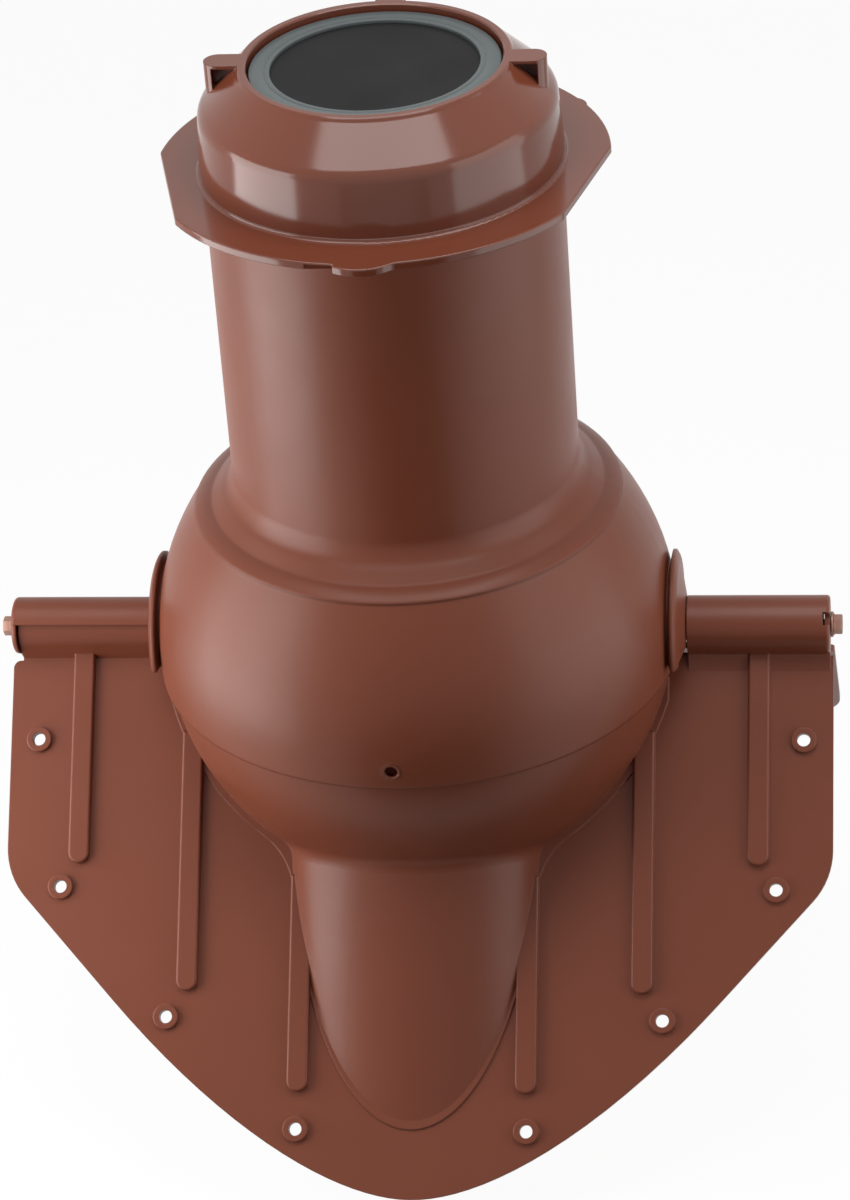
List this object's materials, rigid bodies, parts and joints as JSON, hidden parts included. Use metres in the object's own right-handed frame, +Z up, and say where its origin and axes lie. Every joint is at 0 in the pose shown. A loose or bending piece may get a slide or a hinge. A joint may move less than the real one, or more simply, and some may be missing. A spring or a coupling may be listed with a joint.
{
  "type": "ridge vent pipe",
  "caption": "Roof ridge vent: upright pipe with a sealed collar and a ball foot, clasped by hinged wing plates that fold over the ridge.",
  "frame": {"origin": "where the pipe's axis crosses the hinge line of the two wings", "axes": "+X along the ridge, which is the hinge line; +Z up along the pipe's axis; the front wing slopes down towards -Y"},
  "size_m": [0.3976, 0.3518, 0.4977],
  "materials": {
    "roof_plastic": "red-brown moulded plastic, satin",
    "collar_plastic": "the same red-brown plastic, glossy",
    "black_rubber": "matt black rubber",
    "grey_plastic": "grey moulded plastic",
    "coated_steel": "steel with a brown coat",
    "plain_steel": "zinc plated"
  },
  "bodies": {
    "pipe": {"dome_pipe": "roof_plastic", "collar": "collar_plastic", "collar_gasket": "black_rubber", "seal_membrane": "black_rubber", "seal_clamp_ring": "grey_plastic", "hinge_bolt_right": "coated_steel", "hinge_bolt_left": "coated_steel", "head_washer_right": "coated_steel", "head_washer_left": "coated_steel", "nut_washer_right": "plain_steel", "nut_washer_left": "plain_steel", "lock_nut_right": "plain_steel", "lock_nut_left": "plain_steel"},
    "front_roof_wing": {"front_wing": "roof_plastic"},
    "rear_roof_wing": {"rear_wing": "roof_plastic"}
  },
  "joints": [
    {"name": "front_wing_hinge", "type": "hinge", "parent": "pipe", "child": "front_roof_wing", "pos_m": [0, 0, 0], "axis": [-1, 0, 0], "range_deg": [-6, 24]},
    {"name": "rear_wing_hinge", "type": "hinge", "parent": "pipe", "child": "rear_roof_wing", "pos_m": [0, 0, 0], "axis": [1, 0, 0], "range_deg": [-6, 24]}
  ]
}
